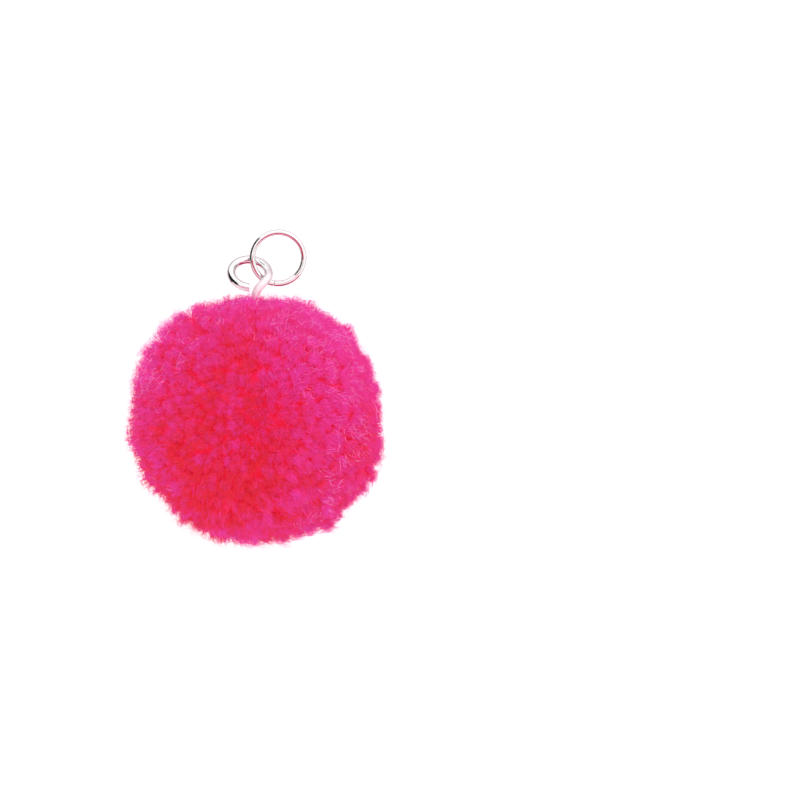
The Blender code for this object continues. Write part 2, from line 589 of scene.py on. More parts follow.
@dataclass(frozen=True)
class Template:
    """One small shape to be repeated: its cross-section offsets, its shares along, and its triangles."""

    section: Floats
    along: Floats
    triangles: Indices

    @staticmethod
    def from_bmesh(shape: bmesh.types.BMesh) -> "Template":
        """Read a shape whose length runs along Z, and free it.

        Args:
            shape: the shape; its faces are made triangles.

        Returns:
            The template.
        """
        bmesh.ops.triangulate(shape, faces=shape.faces)
        shape.verts.index_update()
        points = np.array([vert.co[:] for vert in shape.verts])
        triangles = np.array([[vert.index for vert in face.verts] for face in shape.faces])
        shape.free()
        return Template(points[:, :2], points[:, 2], triangles)

    @staticmethod
    def fibre(rings: int, taper: float) -> "Template":
        """Shape a three-sided fibre that narrows to a point.

        Args:
            rings: how many rings lie between its root and its tip.
            taper: power of the taper; a higher one keeps the fibre full for longer.

        Returns:
            The template.
        """
        shape = bmesh.new()
        stand = Matrix.Translation((0, 0, 0.5))
        bmesh.ops.create_cone(
            shape, cap_ends=True, cap_tris=False, segments=3, radius1=1, radius2=0, depth=1, matrix=stand
        )
        bmesh.ops.remove_doubles(shape, verts=shape.verts, dist=1e-6)
        for ring in range(1, rings + 1):
            bmesh.ops.bisect_plane(
                shape,
                geom=shape.verts[:] + shape.edges[:] + shape.faces[:],
                plane_co=(0, 0, (ring / (rings + 1)) ** RING_CROWDING),
                plane_no=(0, 0, 1),
            )
        for vert in shape.verts:
            share = vert.co.z
            if share < TIP_SHARE:
                vert.co.xy *= (1 - share**taper) / (1 - share)
        bmesh.ops.recalc_face_normals(shape, faces=shape.faces)
        return Template.from_bmesh(shape)

    @staticmethod
    def bud() -> "Template":
        """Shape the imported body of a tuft, a long rounded bud.

        Returns:
            The template.
        """
        shape = bmesh.new()
        bmesh.ops.create_icosphere(shape, subdivisions=1, radius=1)
        bmesh.ops.scale(shape, vec=(1, 1, 0.5), verts=shape.verts)
        bmesh.ops.translate(shape, vec=(0, 0, 0.5), verts=shape.verts)
        return Template.from_bmesh(shape)

    def repeat(self, stems: Stems, map_width: float, map_span: Span) -> Batch:
        """Repeat the shape along many stems.

        Args:
            stems: where each copy runs, how thick it is and its tone.
            map_width: how much of the tone map a copy covers across.
            map_span: the map's heights at its root and at its tip; low is the pile's painted shade, 1 the
                look of a cut tip.

        Returns:
            The copies as one batch.
        """
        along = self.along[None, :, None]
        run = stems.tips - stems.roots
        heading = unit(run)
        side = unit(np.cross(heading, stems.turns))
        across = np.cross(heading, side)
        offsets = side[:, None] * self.section[None, :, :1] + across[:, None] * self.section[None, :, 1:]
        bow = BOW_SCALE * along**2 * (1 - along)
        points = stems.roots[:, None] + run[:, None] * along + stems.bends[:, None] * bow
        points = points + offsets * stems.widths[:, None, None]
        count = len(stems.roots)
        starts = np.arange(count)[:, None, None] * len(self.along)
        triangles = (self.triangles[None] + starts).reshape(-1, 3)
        slant = self.section @ np.array(MAP_TURN)
        places = np.empty((count, len(self.along), 2))
        places[..., 0] = stems.tones[:, None] + slant[None, :, 0] * map_width
        low, high = map_span
        places[..., 1] = low + (high - low) * self.along[None] + slant[None, :, 1] * MAP_HEIGHT
        corners = places.reshape(-1, 2)[triangles.ravel()]
        return Batch(points.reshape(-1, 3), triangles, np.clip(corners, *MAP_LIMITS))


@dataclass
class Growth:
    """One kind of fibre or bud as it grows in every tuft, ready to be repeated."""

    template: Template
    stems: Stems
    per_tuft: int
    map_width: float
    map_span: Span

    def in_tufts(self, chosen: Choices) -> Batch:
        """Make the copies that stand in some of the tufts.

        Args:
            chosen: whether each tuft is wanted.

        Returns:
            Their copies as one batch.
        """
        inside = np.repeat(chosen, self.per_tuft)
        stems = Stems(**{name: values[inside] for name, values in vars(self.stems).items()})
        return self.template.repeat(stems, self.map_width, self.map_span)


# ---------- the yarn ball


@dataclass
class Tufts:
    """Every tuft of the ball, as arrays with a row each.

    Unevenness and looseness are 1 in the mean. Gathering is how far a tuft's tips are drawn in, and ways are
    random vectors square to the directions that a tuft's fibres share.
    """

    directions: Floats
    reach: Floats
    leans: Floats
    ways: Floats
    lumps: Floats
    unevenness: Floats
    gathering: Floats
    shades: Floats
    paleness: Floats
    looseness: Floats


@dataclass(frozen=True)
class Strand:
    """Sizes of one kind of cut fibre that grows in every tuft; its defaults are the dense nap's.

    Fibres root at their depth below the tuft's cut and end short of it, lower by the dome at the tuft's
    edge; strays stand past it. Swirl turns the tips about the tuft, bend bows each fibre its own way, flow
    bows a tuft's fibres together, comb lays them along the ball and sink sets them down on its top.
    """

    per_tuft: int = 40
    rings: int = 0
    taper: float = 1.0
    width: float = 0.094 * MM
    depth: Span = (1.7 * MM, 2.3 * MM)
    root_spread: float = 0.45 * MM
    tip_spread: float = 0.80 * MM
    shortfall: float = 0.32 * MM
    dome: float = 0.55 * MM
    stray_share: float = 0.0
    stray_reach: float = 0.0
    swirl: float = 0.3
    bend: float = 0.0
    flow: float = 0.0
    comb: float = 0.0
    sink: float = 0.0
    tone: float = 0.300
    tone_spread: float = 0.02
    # Painted light: the tone grows paler towards the key light's side of the ball.
    painted_light_slope: Slope = (0.31, 0.16, 0.065)
    tone_limit: float = 0.84
    tuft_tone: float = 0.185
    tuft_slope: Slope = (-0.62, -0.45, 0.0)
    # Painted light: tufts round the ball's widest, its rim from above, are paler, as if lit through.
    painted_rim_light: float = 0.15
    # Painted light and shade: fibres in a tuft's middle are paler, at its edge redder, as in the crevices
    # between tufts.
    tuft_edge_shade: float = 0.34
    map_span: Span = (0.01, 0.985)


@dataclass(frozen=True)
class PilePatch:
    """Place where the pile stands proud or is cut deep, is paler or redder, or is cut looser or tighter.

    Its angles are in degrees. Its breadth is how far from its middle it has faded to a third.
    """

    azimuth: float
    elevation: float
    breadth: float
    extra: float = 0.0
    paleness: float = 0.0
    looseness: float = 0.0

    def nearness(self, directions: Floats) -> Floats:
        """Tell how near each direction is to the patch.

        Args:
            directions: unit vectors, one in each row.

        Returns:
            1 in its middle, falling smoothly to 0 beyond its breadth.
        """
        place = np.array(bearing(math.radians(self.azimuth), math.radians(self.elevation)))
        apart = np.arccos(np.clip(directions @ place, -1, 1))
        return np.exp(-((apart / math.radians(self.breadth)) ** 2))


@dataclass(frozen=True)
class Parting:
    """A groove between two tufts at the ball's widest, that shows as a nick in its outline.

    Its angles are in degrees. It fades aside over its breadth, and up and down over its climb.
    """

    azimuth: float
    depth: float
    breadth: float
    climb: float

    def cut(self, directions: Floats) -> Floats:
        """Tell how much the parting takes off in each direction.

        Args:
            directions: unit vectors, one in each row.

        Returns:
            The depth, falling smoothly to 0 beside the groove and above and below its middle.
        """
        azimuths = np.arctan2(directions[:, 1], directions[:, 0])
        aside = (azimuths - math.radians(self.azimuth) + math.pi) % (2 * math.pi) - math.pi
        above = np.arcsin(np.clip(directions[:, 2], -1, 1))
        spread = (aside / math.radians(self.breadth)) ** 2
        return self.depth * np.exp(-spread - (above / math.radians(self.climb)) ** 2)


@dataclass
class Planting:
    """Fibres of one kind, planted in a loose sunflower pattern round the middle of every tuft.

    The fibres are rows of its arrays. The pair of shortfalls is the cut's unevenness on the ball's top and
    what it gains at its widest. Comb pulls weigh the combed way, the tuft's way and each fibre's own, and
    comb lengths are how far an uncombed tuft lies over and what full combing adds.
    """

    strand: Strand
    tufts: Tufts
    seed: int
    turn_spread: float = 0.3
    crowding: float = 0.56
    width_shares: Span = (0.75, 1.25)
    shortfalls: Span = (0.55, 0.95)
    stray_shares: Span = (0.15, 1.0)
    lean_reach: float = 2.2 * MM
    comb_drift: Slope = (0.50, -0.40, 0.0)
    comb_slope: Slope = (0.90, -0.30, 0.0)
    comb_middle: float = 0.5
    comb_limits: Span = (0.1, 1.0)
    comb_pulls: Slope = (1.5, 0.4, 1.02)
    comb_lengths: Span = (0.55, 0.45)
    comb_shares: Span = (0.5, 1.2)
    # Painted light and shade: proud lumps of the cut are paler, sunken ones redder.
    lump_light_and_shade: float = 0.115
    # Where the painted rim light starts, and the most it adds.
    rim_light_start: float = 0.6
    rim_light_limit: float = 0.30
    tuft_edge_shade_start: float = 0.55
    patch_start: float = 0.5
    tone_limits: Span = (0.02, 0.98)
    map_width: float = 0.003

    def __post_init__(self) -> None:
        """Stand the fibres in their tufts."""
        directions, per_tuft = self.tufts.directions, self.strand.per_tuft
        self.rng = np.random.default_rng(self.seed)
        self.count = len(directions) * per_tuft
        self.owner = np.repeat(np.arange(len(directions)), per_tuft)
        self.way = directions[self.owner]
        self.slant = np.sqrt(1 - self.way[:, 2] ** 2)
        self.first = unit(np.cross(self.way, self.rng.normal(size=directions.shape)[self.owner]))
        self.second = np.cross(self.way, self.first)
        place = np.tile(np.arange(per_tuft), len(directions))
        angle = place * GOLDEN_ANGLE + self.rng.normal(size=self.count) * self.turn_spread
        self.out = ((place + self.rng.uniform(0, 1, self.count)) / per_tuft) ** self.crowding
        self.root_spoke = self.spokes(angle)
        self.tip_spoke = self.spokes(angle + self.rng.normal(size=self.count) * self.strand.swirl)

    def spokes(self, angle: Floats) -> Floats:
        """Return the unit vectors at each fibre's angle about its tuft."""
        return self.first * np.cos(angle)[:, None] + self.second * np.sin(angle)[:, None]

    def own_ways(self) -> Floats:
        """Draw for each fibre a random vector square to its tuft."""
        size = (self.count, 1)
        return self.first * self.rng.normal(size=size) + self.second * self.rng.normal(size=size)

    def runs(self) -> Floats:
        """Comb the fibres.

        Returns:
            How far and which way along the ball each one lies over.
        """
        directions, owner = self.tufts.directions, self.owner
        downhill = sideways(unit(directions * (1, 1, 0)) + np.array(self.comb_drift), directions)
        combed = self.comb_middle + directions @ np.array(self.comb_slope)
        combed = np.clip(combed, *self.comb_limits)[:, None]
        comb_pull, tuft_pull, own_pull = self.comb_pulls
        own_way = self.own_ways()
        run = (unit(downhill) * combed * comb_pull + self.tufts.ways * tuft_pull)[owner]
        run += own_way * (own_pull - combed)[owner]
        least, gained = self.comb_lengths
        length = self.strand.comb * (least + gained * combed)[owner]
        return unit(run) * (length * self.rng.uniform(*self.comb_shares, (self.count, 1)))

    def cuts(self, top: Floats) -> Floats:
        """Trim the fibres.

        Args:
            top: radius of a clean cut at each fibre.

        Returns:
            The radius at which each fibre ends.
        """
        strand, tufts = self.strand, self.tufts
        least, gained = self.shortfalls
        shortfall = strand.shortfall * (least + gained * self.slant) * tufts.looseness[self.owner]
        cut = top - np.abs(self.rng.normal(size=self.count)) * shortfall
        cut -= self.out**2 * strand.dome * tufts.unevenness[self.owner]
        stray = self.rng.uniform(size=self.count) < strand.stray_share
        past = self.rng.uniform(*self.stray_shares, self.count) * strand.stray_reach
        return np.where(stray, top + past, cut)

    def tones(self) -> Floats:
        """Give each fibre its tone.

        Returns:
            Tones from 0 for red to 1 for pale, with painted light and shade added to the yarn's own varied
            tone.
        """
        strand, tufts, owner = self.strand, self.tufts, self.owner
        directions = tufts.directions
        # Painted light: tufts on the key light's side are paler.
        tuft_tone = tufts.shades + directions @ np.array(strand.painted_light_slope)
        # Painted light: paler round the ball's widest, where the rim is lit through.
        tilt = np.sqrt(1 - directions[:, 2] ** 2) - self.rim_light_start
        tuft_tone += np.minimum(tilt * strand.painted_rim_light, self.rim_light_limit)
        # Painted light on proud lumps, painted shade on sunken ones.
        tuft_tone += tufts.lumps * self.lump_light_and_shade
        contrast = 1 + directions @ np.array(strand.tuft_slope)
        tuft_tone += self.rng.normal(size=len(directions)) * strand.tuft_tone * contrast
        tuft_tone += tufts.paleness
        darkest, palest = self.tone_limits
        limit = np.minimum(strand.tone_limit + np.maximum(tufts.paleness - self.patch_start, 0), palest)
        tones = strand.tone + tuft_tone[owner] + self.rng.normal(size=self.count) * strand.tone_spread
        # Painted shade at each tuft's edge, painted light in its middle.
        tones += strand.tuft_edge_shade * (self.tuft_edge_shade_start - self.out) * tufts.unevenness[owner]
        return np.clip(tones, darkest, limit[owner])

    def grow(self, centre: Floats, partings: tuple[Parting, ...]) -> Growth:
        """Let the fibres grow.

        Args:
            centre: the ball's centre.
            partings: grooves that are cut into the pile.

        Returns:
            The fibres, tuft by tuft, ready to be repeated.
        """
        strand, tufts, owner = self.strand, self.tufts, self.owner
        run = self.runs()
        top = tufts.reach[owner] - strand.sink * (1 - self.slant)
        cut = self.cuts(top)
        spread = self.out * strand.tip_spread * tufts.gathering[owner]
        tip_offset = self.tip_spoke * spread[:, None] + tufts.leans[owner] * self.lean_reach + run / 2
        height = np.sqrt(np.maximum(cut**2 - (tip_offset**2).sum(axis=1), 0))
        tips = centre + self.way * height[:, None] + tip_offset
        aims = unit(tips - centre)
        tips -= aims * sum(parting.cut(aims) for parting in partings)[:, None]
        foot = top - self.rng.uniform(*strand.depth, self.count)
        root_offset = self.root_spoke * (self.out * strand.root_spread)[:, None] - run / 2
        bends = self.own_ways() * strand.bend + tufts.ways[owner] * strand.flow
        tones = self.tones()
        stems = Stems(
            roots=centre + self.way * foot[:, None] + root_offset,
            tips=tips,
            bends=bends,
            turns=self.rng.normal(size=(self.count, 3)),
            widths=strand.width * self.rng.uniform(*self.width_shares, self.count),
            tones=tones,
        )
        template = Template.fibre(strand.rings, strand.taper)
        return Growth(template, stems, strand.per_tuft, self.map_width, strand.map_span)


@dataclass
class YarnBall:
    """The trimmed ball of cut yarn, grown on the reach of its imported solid."""

    node: str = "pom_pom"
    centre: Vector = field(default_factory=lambda: Vector((0, 0, 14.3)) * MM)
    stem_radius: float = 0.56 * MM
    stem_start: float = 6 * MM
    floor_gap: float = 0.06 * MM
    seed: int = 23
    tuft_count: int = 1900
    jitter: float = 0.22
    socket_cone: float = math.radians(3.2)
    lock_foot: float = 13.6 * MM
    lock_tip: float = 15 * MM
    lock_fade: float = 0.14 * MM
    lock_breadth: float = math.radians(5)
    tip_inset: float = -0.11 * MM
    tuft_wander: float = 0.31 * MM
    wander_limits: Span = (-2, 1.6)
    lump_height: float = 0.30 * MM
    lump_waves: float = 19.0
    lump_slope: Slope = (-0.62, -0.30, 0.0)
    gather_powers: Span = (0.45, 0.1)
    least_looseness: float = 0.2
    lean: float = 0.10
    lean_waves: float = 3.5
    drift_tone: float = 0.035
    drift_waves: float = 3.0
    burst_tone: float = 0.12
    burst_waves: float = 26.0
    burst_middle: Slope = (0.05, 0.19, 0.0)
    burst_spokes: float = 0.8
    burst_stretch: float = 0.55
    burst_rise: float = 2.0
    bud_width: float = 0.64 * MM
    bud_width_shares: Span = (0.85, 1.15)
    bud_top: float = 1.00 * MM
    bud_length: float = 3.6 * MM
    bud_lean: float = 0.08
    bud_tone: float = 0.30
    bud_tone_spread: float = 0.07
    bud_tone_limits: Span = (0.1, 0.9)
    bud_map_width: float = 0.05
    # Buds sit low on the pile map, mostly in the root's painted shade.
    bud_map_span: Span = (0.01, 0.32)
    heart_radius: float = 12.6 * MM
    heart_lumps: float = 0.35 * MM
    heart_lump_count: int = 24
    heart_lump_waves: float = 26.0
    # The heart sits low on the pile map, in the root's painted shade.
    heart_map: Span = (0.02, 0.06)
    heart_subdivisions: int = 4
    strands: tuple[Strand, ...] = (
        Strand(),
        Strand(
            per_tuft=25,
            rings=1,
            taper=1.6,
            width=0.057 * MM,
            depth=(1.6 * MM, 2.4 * MM),
            root_spread=0.42 * MM,
            tip_spread=0.88 * MM,
            shortfall=0.28 * MM,
            dome=0.50 * MM,
            stray_share=0.06,
            stray_reach=0.38 * MM,
            swirl=0.9,
            bend=0.24 * MM,
            flow=0.15 * MM,
            tone=0.325,
            tone_spread=0.025,
            painted_rim_light=0.17,
            tuft_edge_shade=0.15,
        ),
        Strand(
            per_tuft=8,
            rings=1,
            taper=2.8,
            width=0.031 * MM,
            depth=(0.15 * MM, 0.7 * MM),
            root_spread=0.85 * MM,
            tip_spread=0.95 * MM,
            shortfall=0.12 * MM,
            dome=0.30 * MM,
            stray_share=0.20,
            stray_reach=0.45 * MM,
            swirl=0.6,
            bend=0.22 * MM,
            flow=0.12 * MM,
            comb=0.72 * MM,
            sink=0.75 * MM,
            tone=0.38,
            tone_spread=0.13,
            painted_light_slope=(0.30, 0.15, 0.0),
            tone_limit=0.96,
            tuft_tone=0.21,
            tuft_slope=(0.35, 0.15, 0.0),
            painted_rim_light=1.35,
            tuft_edge_shade=0.0,
            map_span=(0.85, 0.985),
        ),
    )
    patches: tuple[PilePatch, ...] = (
        PilePatch(12, 0, 5, 0.30 * MM),
        PilePatch(23, 0, 4, -0.22 * MM),
        PilePatch(40, 0, 4, 0.75 * MM),
        PilePatch(56, 0, 6, -0.10 * MM),
        PilePatch(107, 0, 9, -0.72 * MM),
        PilePatch(117, 0, 3, 0.25 * MM),
        PilePatch(136, 0, 9, 0.42 * MM, paleness=0.88, looseness=1.4),
        PilePatch(148, 0, 5, 0.80 * MM, paleness=0.15),
        PilePatch(173, 0, 5, -0.18 * MM),
        PilePatch(190, 0, 6, 0.50 * MM, paleness=0.10),
        PilePatch(224, 0, 9, -0.36 * MM),
        PilePatch(247, 0, 9, 0.68 * MM),
        PilePatch(284, 0, 5, -0.28 * MM),
        PilePatch(302, 0, 9, 0.38 * MM),
        PilePatch(333, 0, 6, 0.18 * MM),
        PilePatch(357, 0, 7, -0.75 * MM),
        PilePatch(350, 12, 26, paleness=-0.42, looseness=-0.6),
        PilePatch(32, 12, 22, paleness=-0.14, looseness=-0.45),
        PilePatch(75, 9, 14, paleness=0.06, looseness=0.3),
        PilePatch(104, 6, 12, 0.10 * MM, paleness=0.34, looseness=0.6),
        PilePatch(158, 18, 23, paleness=0.56),
        PilePatch(205, 8, 20, paleness=0.18),
        PilePatch(262, 8, 17, paleness=0.22),
        PilePatch(308, 6, 14, paleness=-0.10),
        PilePatch(326, 36, 20, paleness=-0.12),
        PilePatch(258, 47, 28, paleness=-0.28),
        PilePatch(250, 78, 9, paleness=0.20),
        PilePatch(22, 58, 28, paleness=0.08),
        PilePatch(48, 64, 12, paleness=0.38),
        PilePatch(78, 62, 9, paleness=-0.22),
        PilePatch(262, 64, 12, paleness=-0.12),
        PilePatch(225, 62, 11, paleness=0.36),
        PilePatch(95, 80, 8, paleness=-0.36),
        PilePatch(140, 79, 8, paleness=0.18),
        PilePatch(100, 52, 14, paleness=-0.17),
        PilePatch(335, 78, 8, paleness=-0.14),
        PilePatch(185, 66, 9, paleness=-0.14),
    )
    partings: tuple[Parting, ...] = (
        Parting(121.8, 1.5 * MM, 1.6, 30.0),
        Parting(141.0, 0.50 * MM, 3.0, 20.0),
        Parting(158.0, 0.35 * MM, 2.5, 20.0),
        Parting(32.0, 0.30 * MM, 3.0, 20.0),
    )

    def seed_of(self, draw: Draw, number: int = 0) -> int:
        """Return the seed of one random choice, or of the one with a number in a row of them."""
        return self.seed + draw.value + number

    @cached_property
    def directions(self) -> Floats:
        """Spread the tufts evenly over the ball, with some disorder, leaving the stem's socket free.

        Returns:
            Unit vectors, one a tuft.
        """
        rng = np.random.default_rng(self.seed_of(Draw.PLACES))
        steps = np.arange(self.tuft_count) + 0.5
        heights = 1 - 2 * steps / self.tuft_count
        turns = steps * GOLDEN_ANGLE
        rings = np.sqrt(1 - heights**2)
        even = np.column_stack([rings * np.cos(turns), rings * np.sin(turns), heights])
        pitch = math.sqrt(4 * math.pi / self.tuft_count)
        spread = unit(even + rng.normal(size=even.shape) * pitch * self.jitter)
        outside_socket = spread[:, 1] < math.cos(self.socket_cone)
        return spread[outside_socket]

    @cached_property
    def lumps(self) -> Floats:
        """Tell how high or low each tuft is cut, about -1 to 1."""
        return waves(self.directions, FINE_WAVES, self.lump_waves, self.seed_of(Draw.LUMPS))

    def solid_reach(self) -> Floats:
        """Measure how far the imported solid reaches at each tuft.

        Returns:
            The solid's outer radius, from the tips of its locks.
        """
        corners = np.array([vert.co[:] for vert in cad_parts[self.node].data.vertices])
        arms = corners - np.array(self.centre)
        radii = np.linalg.norm(arms, axis=1)
        outer = radii > self.lock_foot
        radii, headings = radii[outer], unit(arms[outer])
        nearness = np.exp((self.directions @ headings.T - 1) / self.lock_breadth**2)
        tallness = np.exp((radii - self.lock_tip) / self.lock_fade)
        weights = nearness * tallness
        return (weights * radii).sum(axis=1) / weights.sum(axis=1)

    def trimmed_reach(self) -> Floats:
        """Add the tufts' own unevenness to the solid's reach.

        Returns:
            The radius at which each tuft is cut.
        """
        rng = np.random.default_rng(self.seed_of(Draw.WANDER))
        reach = self.solid_reach() - self.tip_inset
        reach += np.clip(rng.normal(size=len(reach)), *self.wander_limits) * self.tuft_wander
        reach += self.lumps * self.lump_height
        for patch in self.patches:
            reach += patch.nearness(self.directions) * patch.extra
        return reach

    def leans(self) -> Floats:
        """Give every tuft a sideways lean that drifts smoothly over the ball.

        Returns:
            Vectors square to the directions, as shares of the radius.
        """
        seeds = [self.seed_of(Draw.LEANS, axis) for axis in range(3)]
        drifts = [waves(self.directions, BROAD_WAVES, self.lean_waves, seed) for seed in seeds]
        return sideways(np.column_stack(drifts), self.directions) * self.lean

    def shades(self) -> Floats:
        """Shade the tufts in a slow drift over the ball and a sunburst round its crown.

        Returns:
            The tone that both add to each tuft.
        """
        directions = self.directions
        drift = waves(directions, BROAD_WAVES, self.drift_waves, self.seed_of(Draw.TONES))
        outward = unit((directions - np.array(self.burst_middle)) * (1, 1, 0))
        spokes = outward * self.burst_spokes + directions * self.burst_stretch
        burst = waves(spokes, FINE_WAVES, self.burst_waves, self.seed_of(Draw.BURST)) * self.burst_tone
        return drift * self.drift_tone + burst * np.clip(directions[:, 2] * self.burst_rise, 0, 1)

    def tufts(self) -> Tufts:
        """Set out every tuft of the ball.

        Returns:
            The tufts.
        """
        directions = self.directions
        ways = np.random.default_rng(self.seed_of(Draw.WAYS)).normal(size=directions.shape)
        unevenness = 1 + directions @ np.array(self.lump_slope)
        lumpy, even = self.gather_powers
        looseness = 1 + sum(patch.nearness(directions) * patch.looseness for patch in self.patches)
        return Tufts(
            directions=directions,
            reach=self.trimmed_reach(),
            leans=self.leans(),
            ways=sideways(ways, directions),
            lumps=self.lumps,
            unevenness=unevenness,
            gathering=np.where(unevenness > 1, unevenness**-lumpy, unevenness**-even),
            shades=self.shades(),
            paleness=sum(patch.nearness(directions) * patch.paleness for patch in self.patches),
            looseness=np.maximum(looseness, self.least_looseness),
        )

    def kept_off(self, points: Floats) -> Floats:
        """Keep points above the floor and outside the wire stem.

        Args:
            points: places of the pile's corners.

        Returns:
            The same places, moved where they were inside either.
        """
        moved = points.copy()
        moved[:, 2] = np.maximum(moved[:, 2], self.floor_gap)
        beside = moved[:, [0, 2]] - np.array([self.centre.x, self.centre.z])
        apart = np.linalg.norm(beside, axis=1)
        near = (apart < self.stem_radius) & (moved[:, 1] > self.stem_start)
        push = self.stem_radius / np.maximum(apart[near], 1e-7)
        moved[near, 0] = self.centre.x + beside[near, 0] * push
        moved[near, 2] = self.centre.z + beside[near, 1] * push
        return moved

    def buds(self, tufts: Tufts) -> Growth:
        """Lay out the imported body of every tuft.

        Args:
            tufts: the ball's tufts.

        Returns:
            The buds, ready to be repeated.
        """
        rng = np.random.default_rng(self.seed_of(Draw.BUDS))
        count = len(tufts.directions)
        centre = np.array(self.centre)
        top = tufts.reach - self.bud_top
        stems = Stems(
            roots=centre + tufts.directions * (top - self.bud_length)[:, None],
            tips=centre + unit(tufts.directions + tufts.leans * self.bud_lean) * top[:, None],
            bends=np.zeros((count, 3)),
            turns=rng.normal(size=(count, 3)),
            widths=self.bud_width * rng.uniform(*self.bud_width_shares, count),
            tones=np.clip(
                self.bud_tone + rng.normal(size=count) * self.bud_tone_spread, *self.bud_tone_limits
            ),
        )
        return Growth(Template.bud(), stems, 1, self.bud_map_width, self.bud_map_span)

    def heart(self, material: Material) -> Piece:
        """Make the dense heart of the ball, where the strands are bound too tight to see between.

        Args:
            material: the yarn's finish.

        Returns:
            The heart's object.
        """
        shape = bmesh.new()
        bmesh.ops.create_icosphere(shape, subdivisions=self.heart_subdivisions, radius=1)
        template = Template.from_bmesh(shape)
        directions = unit(np.column_stack([template.section, template.along]))
        lumps = waves(directions, self.heart_lump_count, self.heart_lump_waves, self.seed_of(Draw.HEART))
        points = np.array(self.centre) + directions * (self.heart_radius + self.heart_lumps * lumps)[:, None]
        turn = np.arctan2(directions[:, 1], directions[:, 0]) / (2 * math.pi) + 0.5
        low, rise = self.heart_map
        corners = np.column_stack([turn, low + rise * (directions[:, 2] + 1)])[template.triangles.ravel()]
        return Batch(points, template.triangles, corners).to_object("yarn_heart", material)

    def build(self, finish: YarnFinish) -> list[Piece]:
        """Grow the whole ball, one mesh for each of its sides and one for its heart.

        Args:
            finish: the yarn's finish.

        Returns:
            The ball's pieces.
        """
        material = finish.make()
        tufts = self.tufts()
        growths = [self.buds(tufts)]
        for number, strand in enumerate(self.strands):
            planting = Planting(strand, tufts, self.seed_of(Draw.STRANDS, number))
            growths.append(planting.grow(np.array(self.centre), self.partings))
        pieces = [self.heart(material)]
        facings = np.array([zone.value for zone in PileZone])
        tuft_zone = np.argmax(tufts.directions @ facings.T, axis=1)
        for index, zone in enumerate(PileZone):
            batch = Batch.joined([growth.in_tufts(tuft_zone == index) for growth in growths])
            batch.points = self.kept_off(batch.points)
            pieces.append(batch.to_object(f"pile_{zone.name.lower()}", material))
        for piece in pieces:
            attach(piece, "root")
            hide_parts(self.node)
        return pieces


# ---------- the wires


def sweep_wire(
    name: str, path: list[Vector], wire: float, sides: int, ends: tuple[WireEnd, WireEnd]
) -> Piece:
    """Draw a round wire along a path, by extruding a circle from point to point.

    Args:
        name: what the piece is called.
        path: points of the wire's middle line, close together.
        wire: the wire's diameter.
        sides: how many sides its round section has.
        ends: how the first and the last end are left.

    Returns:
        The wire's object, closed and smooth.
    """
    shape = bmesh.new()
    headings = [(after - before).normalized() for before, after in zip(path[:-1], path[1:])]
    tangents = [headings[0]]
    tangents += [(before + after).normalized() for before, after in zip(headings[:-1], headings[1:])]
    tangents.append(headings[-1])
    start = Matrix.Translation(path[0]) @ tangents[0].to_track_quat("Z", "Y").to_matrix().to_4x4()
    bmesh.ops.create_circle(shape, cap_ends=True, segments=sides, radius=wire / 2, matrix=start)
    first_cap = shape.faces[:][0]
    edges = shape.edges[:]
    for before, after, old, new in zip(path[:-1], path[1:], tangents[:-1], tangents[1:]):
        grown = bmesh.ops.extrude_edge_only(shape, edges=edges)["geom"]
        verts = [item for item in grown if isinstance(item, bmesh.types.BMVert)]
        edges = [item for item in grown if isinstance(item, bmesh.types.BMEdge)]
        turn = old.rotation_difference(new).to_matrix()
        bmesh.ops.rotate(shape, verts=verts, cent=before, matrix=turn)
        bmesh.ops.translate(shape, verts=verts, vec=after - before)
    last_cap = bmesh.ops.contextual_create(shape, geom=edges)["faces"][0]
    for cap, end in zip((first_cap, last_cap), ends):
        if end is WireEnd.CUT:
            bmesh.ops.bevel(
                shape,
                geom=list(cap.edges),
                offset=wire * CUT_ROUNDING,
                segments=CUT_STEPS,
                profile=0.5,
                affect="EDGES",
                material=-1,
            )
    bmesh.ops.recalc_face_normals(shape, faces=shape.faces)
    for face in shape.faces:
        face.smooth = True
    return shape_to_object(name, shape)


@dataclass
class PlatedWire:
    """A round plated wire that stands for one solid."""

    name: str
    node: str
    wire: float
    steps: int
    sides: int
    ends: tuple[WireEnd, WireEnd]

    def path(self) -> list[Vector]:
        """Return points of the wire's middle line, which each kind of wire traces."""
        raise NotImplementedError

    def build(self, finish: Material) -> Piece:
        """Make the wire and let it stand for its solid.

        Args:
            finish: the plating's material.

        Returns:
            The wire's object.
        """
        piece = sweep_wire(self.name, self.path(), self.wire, self.sides, self.ends)
        piece.data.materials.append(finish)
        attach(piece, "root")
        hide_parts(self.node)
        return piece


